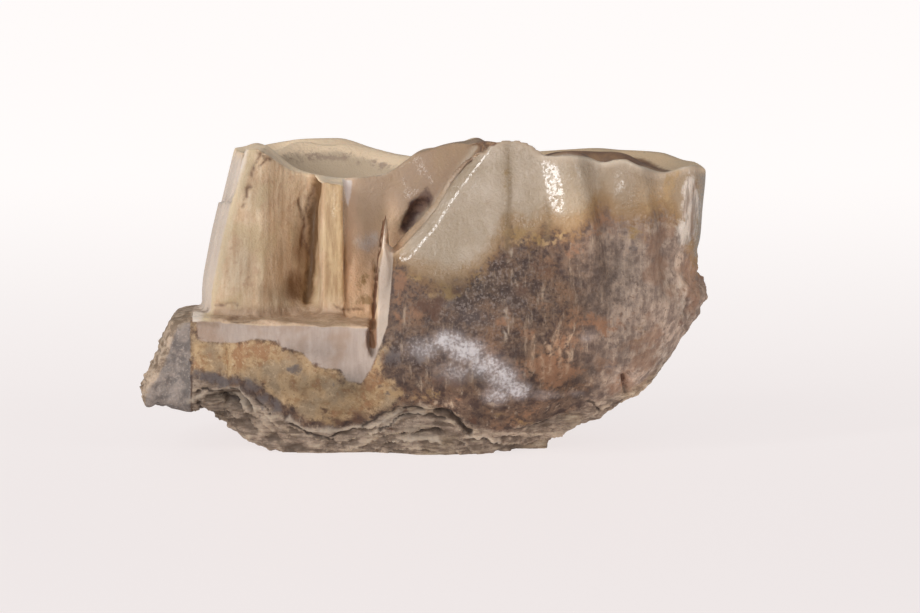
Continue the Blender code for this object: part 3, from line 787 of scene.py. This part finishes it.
# Where the enamel is cut through beside the fracture: its inner edge
BREAK_ENAMEL = [(140, 251), (165, 246), (205, 231), (240, 222), (280, 214), (310, 206), (330, 200)]
section = (np.interp(pixel[1], *zip(*BREAK_ENAMEL)) - pixel[0]) / PX_PER_MM
column = step(*COLUMN_LEFT, pixel[0]) * step(*COLUMN_RIGHT, pixel[0])
column = column * step(*COLUMN_TOP, pixel[1]) * step(*COLUMN_FOOT, pixel[1]) * on_break
marks = {
    "enamel": np.clip(enamel, -9, 9),
    "root": np.clip(np.where(slab > -0.1, -6, root), -6, 6),
    "broken": np.where(slab > 0, -2, np.clip(broken, -2, 2)),
    "section": np.clip(section, -4, 4),
    "stub": np.where(y < 0, np.clip(stub, -3, 3), -3),
    "ochre": np.where(y < 0, np.clip(ochre, -3, 3), -3),
    "slab": np.clip(slab, -2, 2),
    "slab_edge": np.clip(slab_edge, 0, 3),
    "blade": np.where(y < -9, np.clip(blade, -2, 2), -2),
    "apex": np.where(y < 4, np.clip(apex, -2, 2), -2),
    # Painted shade in the hollow of the fracture
    "hollow": spots(ragged, HOLLOW_PAINTED_SHADE) * on_break,
    "mottle": spots(ragged, MOTTLE) * front,
    "relief": np.clip(shift, -1, 1),
    "dull": spots(pixel, DULL) * front,
    "shelf": shelf,
    "crevice": np.clip(from_line(ragged, CREVICE), 0, 4),
    # Painted shadow along the gap beside the splinter, and painted shade in the slot at its foot
    "split_shadow": np.clip(from_line(pixel, SPLIT_SHADOW), 0, 3),
    "slot": np.clip(from_line(pixel, SPLIT_SHADOW[-2:]), 0, 3),
    "crack": traces(ragged, BREAK_CRACKS, 0.13) * front,
    "seam": np.maximum(seam, lens) * front,
    "lip": np.maximum(lip, 0.9 * traces(pixel, SCRATCHES, 0.1) * front),
    "worn_edge": worn_edge,
    "fibres": traces(ragged, FIBRES, 0.13) * front,
    "top": top,
    "rim": np.clip(wall_radius(angle, z) - reach, -1, 12),
    "basin": np.clip(basin, -6, 8),
    "valley": step(-8.6, -8.2, x) * step(7.6, 6.0, x) * step(-1.2, -2.6, y),
    "right": step(*RIGHT_HALF, pixel[0]) * front,
    "rear": step(5.0, 10.0, x + 1.5 * grain(points, (2.5, 2.5, 2.5), 71, 3)),
    "ledge": on_break * step(LEDGE + 1.4, LEDGE + 0.4, z),
    "column": column,
    "wedge": np.clip(within(pixel, WEDGE), -2, 2),
    # Painted shade and a dark stain in the deep pit
    "pit": np.where(y > -14, np.clip(within(ragged, PIT_SHADE_AND_STAIN), -2, 2), -2),
    # Painted shade along the shallow grooves, with an olive brown tint
    "groove_shade_and_tint": traces(pixel, SHADED_GROOVES, 0.28) * front,
    "speckle": spots(pixel, SPECKLE) * front,
    "chalk": spots(ragged, CHALK) * front,
    # Painted light and painted shade, as ovals on the front
    "light_and_tone_lift": spots(pixel, LIGHT_AND_TONE_LIFT) * front,
    "shade_and_tone_dim": spots(pixel, SHADE_AND_TONE_DIM) * front,
    "corner": spots(ragged, CORNER) * front,
}
for name, places in TINTS.items():
    elsewhere = 0.4 * step(0.2, 1.0, grain(points, (5, 5, 5), SEED[name], 2)) * (1 - front) * (1 - top)
    marks[name] = np.maximum(spots(torn, places) * front, elsewhere)
for name, values in marks.items():
    kept = mesh.attributes.new(name, "FLOAT", "POINT")
    kept.data.foreach_set("value", np.asarray(values, np.float32))

MOST_TRIANGLES = 188000
thinned = tooth.modifiers.new("thinned", "DECIMATE")
thinned.ratio = min(1.0, MOST_TRIANGLES / (2 * len(mesh.polygons)))
settle(tooth)
for polygon in tooth.data.polygons:
    polygon.use_smooth = True


class Link:
    """A socket that can stand in a sum: each operator adds its Math node and gives the new socket."""

    def __init__(self, finish, socket):
        self.finish, self.socket = finish, socket

    def math(self, operation, *values):
        return self.finish.node("ShaderNodeMath", {"operation": operation}, dict(enumerate(values)))

    def __add__(self, other):
        return self.math("ADD", self, other)

    def __sub__(self, other):
        return self.math("SUBTRACT", self, other)

    def __rsub__(self, other):
        return self.math("SUBTRACT", other, self)

    def __mul__(self, other):
        return self.math("MULTIPLY", self, other)

    __radd__, __rmul__ = __add__, __mul__

    def rises(self, low, high):
        """0 below low and 1 above high. It falls instead where high is the lower one."""
        values = {"Value": self, "From Min": low, "From Max": high}
        return self.finish.node("ShaderNodeMapRange", {"interpolation_type": "SMOOTHSTEP"}, values)


class Finish:
    """A material whose nodes are added one call at a time."""

    def __init__(self, name):
        self.material = bpy.data.materials.new(name)
        self.material.use_nodes = True
        self.tree = self.material.node_tree
        self.shader = self.tree.nodes["Principled BSDF"]

    def node(self, kind, settings, inputs, output=0):
        """Adds a node: its settings first, then the values or links of its sockets."""
        made = self.tree.nodes.new(kind)
        for name, value in settings.items():
            setattr(made, name, value)
        for name, value in inputs.items():
            self.put(made.inputs[name], value)
        return Link(self, made.outputs[output])

    def put(self, socket, value):
        if isinstance(value, Link):
            self.tree.links.new(value.socket, socket)
        else:
            socket.default_value = value

    def mark(self, name):
        """One of the numbers that lie on the mesh."""
        return self.node("ShaderNodeAttribute", {"attribute_name": name}, {}, "Fac")

    def place(self, scale):
        """Places on the object in millimetres, stretched by a scale along X, Y and Z."""
        spot = self.node("ShaderNodeTexCoord", {}, {}, "Object")
        stretch = tuple(1000 * v for v in scale)
        return self.node("ShaderNodeVectorMath", {"operation": "MULTIPLY"}, {0: spot, 1: stretch})

    def along(self, axis):
        """How far a place on the object lies along one axis, in millimetres."""
        return self.node("ShaderNodeSeparateXYZ", {}, {0: self.place((1, 1, 1))}, axis)

    def cloud(self, size, seed, detail=3.0, rough=0.6, stretch=(1, 1, 1)):
        """Soft random values from 0 to 1, with patches of about a size in millimetres."""
        offset = tuple(seed * part for part in (37.1, 11.7, 5.3))
        spot = self.node("ShaderNodeVectorMath", {}, {0: self.place(stretch), 1: offset})
        inputs = {"Vector": spot, "Scale": 1 / size, "Detail": detail, "Roughness": rough}
        return self.node("ShaderNodeTexNoise", {}, inputs, "Fac")

    def blend(self, share, low, high):
        """From one colour to another as share goes from 0 to 1."""
        return self.node("ShaderNodeMix", {"data_type": "RGBA"}, {0: share, 6: low, 7: high}, 2)


def paint(red, green, blue):
    """A colour given as it looks on screen, 0 to 255, turned into light."""
    return tuple(((c / 255 + 0.055) / 1.055) ** 2.4 for c in (red, green, blue)) + (1.0,)


fossil = Finish("fossil_tooth")
mark = fossil.mark
fine = fossil.cloud(0.5, 1, 4, 0.7)
small = fossil.cloud(1.2, 2, 4, 0.65)
broad = fossil.cloud(4.5, 3, 3)
streak = fossil.cloud(0.7, 4, 4, 0.65, (1, 1, 0.16))
speck = fossil.cloud(0.3, 5, 2, 0.5)
layered = fossil.cloud(0.5, 6, 4, 0.65, (0.16, 0.3, 1))

# Clear enamel: grey cream, paler on the left, warmer and darker towards its foot, with faint upright bands
enamel_mark = mark("enamel") + (small - 0.5) * 2.4 + (fine - 0.5) * 1.2 + (streak - 0.5) * 1.2
enamel_colour = fossil.blend(broad.rises(0.38, 0.66), paint(154, 136, 114), paint(172, 155, 136))
enamel_colour = fossil.blend(streak.rises(0.5, 0.8) * 0.3, enamel_colour, paint(184, 168, 150))
enamel_colour = fossil.blend(mark("right") * 0.6, enamel_colour, paint(140, 116, 90))
enamel_colour = fossil.blend(enamel_mark.rises(2.8, 0.3) * 0.85, enamel_colour, paint(138, 108, 72))
left_wall = fossil.along(0).rises(-15, -19)
enamel_colour = fossil.blend(left_wall * 0.85, enamel_colour, paint(228, 210, 194))

# The stained neck: dark mauve brown with fine grey specks, lighter and browner to the right
stain = fossil.blend(small.rises(0.36, 0.68), paint(66, 48, 41), paint(112, 88, 70))
stain = fossil.blend(broad.rises(0.46, 0.62) * fine.rises(0.35, 0.6), stain, paint(116, 86, 64))
stain = fossil.blend(streak.rises(0.54, 0.72) * 0.65, stain, paint(166, 144, 122))
stain = fossil.blend(speck.rises(0.52, 0.64) * mark("speckle") * 0.5, stain, paint(154, 139, 131))
stain = fossil.blend(speck.rises(0.44, 0.33) * 0.5, stain, paint(52, 39, 36))
side_share = (streak * 0.5 + small * 0.5).rises(0.38, 0.62)
side_colour = fossil.blend(side_share, paint(130, 111, 99), paint(188, 166, 148))
side_colour = fossil.blend(fine.rises(0.52, 0.66) * 0.6, side_colour, paint(90, 72, 64))
side_colour = fossil.blend(broad.rises(0.5, 0.62) * 0.6, side_colour, paint(142, 108, 86))
stain = fossil.blend(mark("right") * 0.72, stain, side_colour)
fringe = enamel_mark.rises(-1.9, -0.6) * fine.rises(0.3, 0.6)
stain = fossil.blend(fringe * 0.75, stain, paint(132, 100, 66))
colour = fossil.blend(enamel_mark.rises(-0.9, 0.8), stain, enamel_colour)

# The broken root: smooth grey brown layers with dark seams and pale lips, with painted light on its raised
# ledges and painted shade in its sunken parts
root_mark = mark("root") + (small - 0.5) * 1.4
root_colour = fossil.blend(small.rises(0.34, 0.66), paint(126, 107, 92), paint(160, 140, 122))
# Painted light: paler on the raised shelves of the layers
root_colour = fossil.blend(mark("shelf").rises(0.45, 0.95) * 0.5, root_colour, paint(170, 152, 132))
root_colour = fossil.blend(broad.rises(0.5, 0.66) * 0.5, root_colour, paint(136, 116, 88))
root_colour = fossil.blend(speck.rises(0.42, 0.32) * 0.5, root_colour, paint(86, 70, 58))
root_colour = fossil.blend(layered.rises(0.49, 0.42) * 0.7, root_colour, paint(94, 77, 63))
root_colour = fossil.blend(layered.rises(0.54, 0.62) * 0.6, root_colour, paint(178, 160, 138))
# Painted light on the raised parts of the skin, and painted shade in its sunken parts
root_colour = fossil.blend(mark("relief").rises(0.12, 0.5) * 0.5, root_colour, paint(186, 166, 144))
root_colour = fossil.blend(mark("relief").rises(-0.08, -0.4) * 0.75, root_colour, paint(84, 68, 56))
colour = fossil.blend(root_mark.rises(-0.4, 0.5), colour, root_colour)

# Left front: the ochre patch, the pale band of enamel above it, the grey slab at the end
ochre_colour = fossil.blend(small.rises(0.36, 0.66), paint(144, 115, 80), paint(178, 149, 112))
ochre_colour = fossil.blend(broad.rises(0.48, 0.62) * 0.6, ochre_colour, paint(142, 124, 102))
rusty = (broad * 0.5 + small * 0.5).rises(0.5, 0.4)
ochre_colour = fossil.blend(rusty * 0.6, ochre_colour, paint(150, 104, 70))
ochre_colour = fossil.blend(fine.rises(0.54, 0.66) * 0.5, ochre_colour, paint(192, 168, 136))
ochre_colour = fossil.blend(speck.rises(0.4, 0.3) * 0.5, ochre_colour, paint(112, 86, 62))
ochre_share = (mark("ochre") + (fine - 0.5) * 1.2 + (small - 0.5) * 1.8).rises(-0.4, 0.5)
colour = fossil.blend(ochre_share, colour, ochre_colour)
stub_colour = fossil.blend(streak.rises(0.3, 0.72), paint(162, 144, 132), paint(177, 160, 148))
stub_colour = fossil.blend(broad.rises(0.45, 0.65) * 0.7, stub_colour, paint(154, 128, 108))
colour = fossil.blend((mark("stub") + (fine - 0.5) * 0.5).rises(-0.14, 0.14), colour, stub_colour)
slab_colour = fossil.blend(small.rises(0.36, 0.66), paint(106, 97, 92), paint(146, 133, 124))
slab_colour = fossil.blend(speck.rises(0.55, 0.68) * 0.5, slab_colour, paint(168, 154, 144))
edge_share = (mark("slab_edge") + (small - 0.5) * 0.8).rises(1.1, 0.7)
edge_colour = fossil.blend(small.rises(0.4, 0.6), paint(128, 108, 88), paint(184, 162, 140))
slab_colour = fossil.blend(edge_share * 0.9, slab_colour, edge_colour)
colour = fossil.blend((mark("slab") + (fine - 0.5) * 0.4).rises(-0.1, 0.1), colour, slab_colour)

# The worn face: an enamel rim, brown dentine inside it, and smooth grey cream basins with purple streaks.
# The wall of the valley is enamel too, browner than the rest, with painted shade high up beside the crest.
face = fossil.blend(broad.rises(0.4, 0.62), paint(112, 86, 70), paint(146, 114, 86))
rim_mark = mark("rim") + (fine - 0.5) * 0.6
near_side = fossil.along(1).rises(-9, -12)
rim_colour = fossil.blend(near_side, paint(204, 178, 146), paint(174, 154, 133))
face = fossil.blend(rim_mark.rises(2.9, 2.3), face, rim_colour)
basin_mark = mark("basin") + (broad - 0.5) * 1.2
left_bowl = mark("rear").rises(1, 0)
face = fossil.blend(basin_mark.rises(-5.6, -5.0) * left_bowl, face, paint(232, 208, 178))
bowl_colour = fossil.blend(left_bowl, paint(126, 100, 84), paint(194, 174, 149))
face = fossil.blend(basin_mark.rises(1.5, 2.1), face, bowl_colour)
purple = basin_mark.rises(1.3, 1.8) * basin_mark.rises(2.7, 2.0) * small.rises(0.46, 0.6) * left_bowl
face = fossil.blend(purple * 0.6, face, paint(136, 112, 102))
height_above = fossil.along(2)
valley_colour = fossil.blend(height_above.rises(16, 25), paint(214, 182, 150), paint(180, 154, 130))
# Painted shade on the upper wall of the valley beside the crest
valley_painted_shade = fossil.along(0).rises(-6, -1) * height_above.rises(22, 26)
valley_colour = fossil.blend(valley_painted_shade * 0.7, valley_colour, paint(146, 120, 98))
valley_colour = fossil.blend(broad.rises(0.4, 0.66) * 0.5, valley_colour, paint(168, 142, 112))
mottled = (mark("mottle") * (0.3 + fine + small * 0.4)).rises(0.35, 0.9)
valley_colour = fossil.blend(mottled * 0.8, valley_colour, paint(204, 192, 180))
face = fossil.blend(mark("valley"), face, valley_colour)
colour = fossil.blend(mark("top"), colour, face)

# The fracture: matt beige dentine with upright grain, with painted shade in its hollow and along its
# crevice, and with enamel cut at its left end
dentine = fossil.blend(streak.rises(0.34, 0.68), paint(208, 176, 142), paint(228, 204, 173))
dentine = fossil.blend(broad.rises(0.48, 0.66) * 0.6, dentine, paint(204, 182, 144))
dentine = fossil.blend(small.rises(0.5, 0.66) * 0.4, dentine, paint(188, 150, 122))
# Painted shade: brown in the hollow of the fracture
dentine = fossil.blend((mark("hollow") * (0.5 + streak)).rises(0.1, 1.0), dentine, paint(126, 90, 58))
column_colour = fossil.blend(streak.rises(0.36, 0.64), paint(162, 130, 92), paint(194, 166, 126))
dentine = fossil.blend(mark("column") * 0.85, dentine, column_colour)
ledge_colour = fossil.blend(small.rises(0.4, 0.62), paint(154, 124, 100), paint(188, 160, 136))
dentine = fossil.blend(mark("ledge") * 0.8, dentine, ledge_colour)
# Painted shade along the crevice of the break: brown beside it and darkest in its depth
crevice_side_shade = (mark("crevice") + (small - 0.5) * 0.8).rises(1.2, 0.3)
dentine = fossil.blend(crevice_side_shade * 0.7, dentine, paint(142, 106, 68))
crevice_shade = (mark("crevice") + (fine - 0.5) * 0.5).rises(0.55, 0.15)
dentine = fossil.blend(crevice_shade * 0.85, dentine, paint(104, 74, 44))
junction = (mark("section") + (fine - 0.5) * 0.9).rises(-1.0, -0.5)
dentine = fossil.blend(junction * 0.8, dentine, paint(208, 188, 156))
cut_enamel = fossil.blend(streak.rises(0.3, 0.7), paint(222, 206, 190), paint(234, 220, 208))
dentine = fossil.blend((mark("section") + (fine - 0.5) * 0.4).rises(-0.2, 0.5), dentine, cut_enamel)
colour = fossil.blend(mark("broken").rises(0.0, 0.25), colour, dentine)

# Touches of rust, umber, olive, slate and pale cream, and the chalky powder
TOUCHES = [
    ("pale", (188, 172, 156)), ("honey", (158, 130, 94)), ("olive", (142, 114, 72)),
    ("slate", (94, 84, 82)), ("rust", (136, 98, 72)), ("umber", (86, 57, 42)),
]
for name, shade in TOUCHES:
    patches = (mark(name) + (small - 0.5) * 1.3 + (fine - 0.5) * 1.1).rises(0.3, 0.8)
    colour = fossil.blend(patches * mark(name).rises(0.02, 0.3) * 0.85, colour, paint(*shade))
bleached = (mark("corner") + (small - 0.5) * 0.9 + (fine - 0.5) * 0.6).rises(0.3, 0.6)
bleached_colour = fossil.blend(streak.rises(0.4, 0.56), paint(146, 134, 124), paint(206, 194, 182))
colour = fossil.blend(bleached * 0.75, colour, bleached_colour)
colour = fossil.blend(mark("fibres") * fine.rises(0.3, 0.6) * 0.7, colour, paint(180, 152, 126))
dust = (mark("chalk") * (0.6 + fine * 0.8)).rises(0.15, 0.9)
colour = fossil.blend(dust * 0.7, colour, paint(156, 145, 142))
powder = (mark("chalk") * (speck * 1.5 + fine - 0.35)).rises(0.4, 1.0)
colour = fossil.blend(powder * 0.7, colour, paint(206, 200, 200))

# The splinter of enamel beside the break, the brown facet of the front cusp, and all the fine lines
# Painted shade and a dark stain in the deep pit
pit_shade_and_stain = fossil.blend(small.rises(0.4, 0.6), paint(78, 56, 50), paint(114, 88, 74))
colour = fossil.blend((mark("pit") + (small - 0.5) * 0.9).rises(-0.5, 0.1), colour, pit_shade_and_stain)
wedge_share = (mark("wedge") + (fine - 0.5) * 0.3).rises(-0.1, 0.15)
colour = fossil.blend(wedge_share * 0.9, colour, paint(206, 194, 188))
# Painted shade along the shallow grooves, with an olive brown tint
colour = fossil.blend(mark("groove_shade_and_tint") * 0.75, colour, paint(116, 94, 66))
blade_share = (mark("blade") + (fine - 0.5) * 0.2).rises(-0.06, 0.1)
colour = fossil.blend(blade_share * 0.85, colour, paint(192, 174, 158))
apex_colour = fossil.blend(small.rises(0.4, 0.6), paint(112, 84, 66), paint(160, 128, 98))
colour = fossil.blend((mark("apex") + (fine - 0.5) * 0.3).rises(-0.05, 0.15), colour, apex_colour)
colour = fossil.blend(mark("worn_edge") * 0.6, colour, paint(204, 190, 172))
colour = fossil.blend(mark("lip") * 0.7, colour, paint(184, 168, 150))
colour = fossil.blend(mark("crack") * 0.8, colour, paint(112, 80, 58))
colour = fossil.blend(mark("seam").rises(0.2, 0.9) * 0.9, colour, paint(62, 48, 40))
# Painted shadow along the gap beside the splinter, and painted shade in the slot at its foot
colour = fossil.blend(mark("split_shadow").rises(0.22, 0.08), colour, paint(104, 68, 44))
slot_shade_share = (mark("slot") + (fine - 0.5) * 0.2).rises(0.5, 0.3)
colour = fossil.blend(slot_shade_share, colour, paint(140, 104, 78))

# Painted light and painted shade: the colour is scaled up in the first ovals and down in the second
light_shade_and_tone = mark("light_and_tone_lift") * 0.9 - mark("shade_and_tone_dim") + 1
colour = fossil.node("ShaderNodeVectorMath", {"operation": "SCALE"}, {0: colour, "Scale": light_shade_and_tone})

# The gloss lies on the clear enamel alone and is worn into specks. The rest is matt and finely rough.
shine = enamel_mark.rises(-0.2, 1.2) * (1 - mark("broken").rises(0.0, 0.25) * 0.85)
shine = shine * (1 - mark("top") * 0.8) * (1 - mark("umber")) * mark("pit").rises(-0.3, -0.8)
shine = shine * (1 - mark("dull")) * (1 - left_wall * 0.8)
roughness = 0.64 - shine * 0.44 + (fine - 0.5) * 0.12
height = (small * 0.3 + fine * 0.3 + speck * 0.15 + streak * 0.12) * (1 - shine)
height = height + layered * 0.7 * root_mark.rises(-0.4, 0.5)
height = height + (small * 0.15 + fine * 0.45 + speck * 0.2) * shine
bump = fossil.node("ShaderNodeBump", {}, {"Strength": 0.6, "Distance": 0.0006, "Height": height})
fossil.put(fossil.shader.inputs["Base Color"], colour)
fossil.put(fossil.shader.inputs["Roughness"], roughness)
fossil.put(fossil.shader.inputs["Normal"], bump)
worn_gloss = (fine * 0.4 + speck * 0.5 + small * 0.1).rises(0.46, 0.53)
fossil.put(fossil.shader.inputs["Coat Weight"], shine * (worn_gloss * 0.95 + 0.05))
fossil.shader.inputs["Coat Roughness"].default_value = 0.08
fossil.shader.inputs["Subsurface Weight"].default_value = 0.15
fossil.shader.inputs["Subsurface Radius"].default_value = (1.0, 0.7, 0.45)
fossil.shader.inputs["Subsurface Scale"].default_value = 0.001
tooth.data.materials.append(fossil.material)

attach(tooth, "root")
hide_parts("molar")

# The floor: a sheet of milky acrylic lit from below, as on a light table, so that hardly a shadow
# falls on it. Its glow fades towards the near edge.
HALF_FLOOR = 3.0
GLOW_REACH = (-90, 380)
NEAR_GLOW = (0.765, 0.71, 0.705, 1)
FAR_GLOW = (0.94, 0.905, 0.895, 1)
ACRYLIC_WHITE = (0.1, 0.1, 0.1, 1)

floor = bpy.data.objects.new("floor", bpy.data.meshes.new("floor"))
corners = [(x * HALF_FLOOR, y * HALF_FLOOR, 0) for x, y in ((-1, -1), (1, -1), (1, 1), (-1, 1))]
floor.data.from_pydata(corners, [], [(0, 1, 2, 3)])
bpy.context.scene.collection.objects.link(floor)
acrylic = Finish("milky_acrylic")
glow = acrylic.blend(acrylic.along(1).rises(*GLOW_REACH), NEAR_GLOW, FAR_GLOW)
acrylic.put(acrylic.shader.inputs["Emission Color"], glow)
acrylic.shader.inputs["Emission Strength"].default_value = 1.0
acrylic.shader.inputs["Base Color"].default_value = ACRYLIC_WHITE
acrylic.shader.inputs["Roughness"].default_value = 0.6
floor.data.materials.append(acrylic.material)
floor.visible_glossy = False


# The light: a long soft box on the left, a small one nearer the camera, turned so that its
# reflection follows the rib of the enamel, a wide one on the right, and a dim even room.
STRIP_ROLL = math.radians(24)
TOOTH_MIDDLE = (0, 0, 0.015)
CROWN_FRONT = (0.01, -0.02, 0.028)
ROOM_WHITE = (1, 0.985, 0.975, 1)
ROOM_LIGHT = 0.24


def soft_box(name, place, target, size, power):
    """A rectangular soft light that faces a target."""
    lamp = bpy.data.lights.new(name, "AREA")
    lamp.shape = "RECTANGLE"
    lamp.size, lamp.size_y = size
    lamp.energy = power
    box = bpy.data.objects.new(name, lamp)
    box.location = place
    box.rotation_euler = (Vector(target) - Vector(place)).to_track_quat("-Z", "Y").to_euler()
    bpy.context.scene.collection.objects.link(box)
    return box


soft_box("left_box", (-0.42, -0.37, 0.31), TOOTH_MIDDLE, (0.08, 0.62), 1.9)
strip_box = soft_box("strip_box", (-0.25, -0.55, 0.12), CROWN_FRONT, (0.085, 0.34), 1.3)
strip_box.rotation_euler.rotate_axis("Z", STRIP_ROLL)
soft_box("right_box", (0.50, -0.35, 0.40), TOOTH_MIDDLE, (0.35, 0.35), 0.9)
fill = soft_box("fill", (0.10, -0.75, 0.45), TOOTH_MIDDLE, (0.5, 0.3), 0.5)
fill.visible_glossy = False
room = bpy.data.worlds.new("room")
room.use_nodes = True
room.node_tree.nodes["Background"].inputs["Color"].default_value = ROOM_WHITE
room.node_tree.nodes["Background"].inputs["Strength"].default_value = ROOM_LIGHT
bpy.context.scene.world = room
bpy.context.scene.view_settings.view_transform = "Standard"
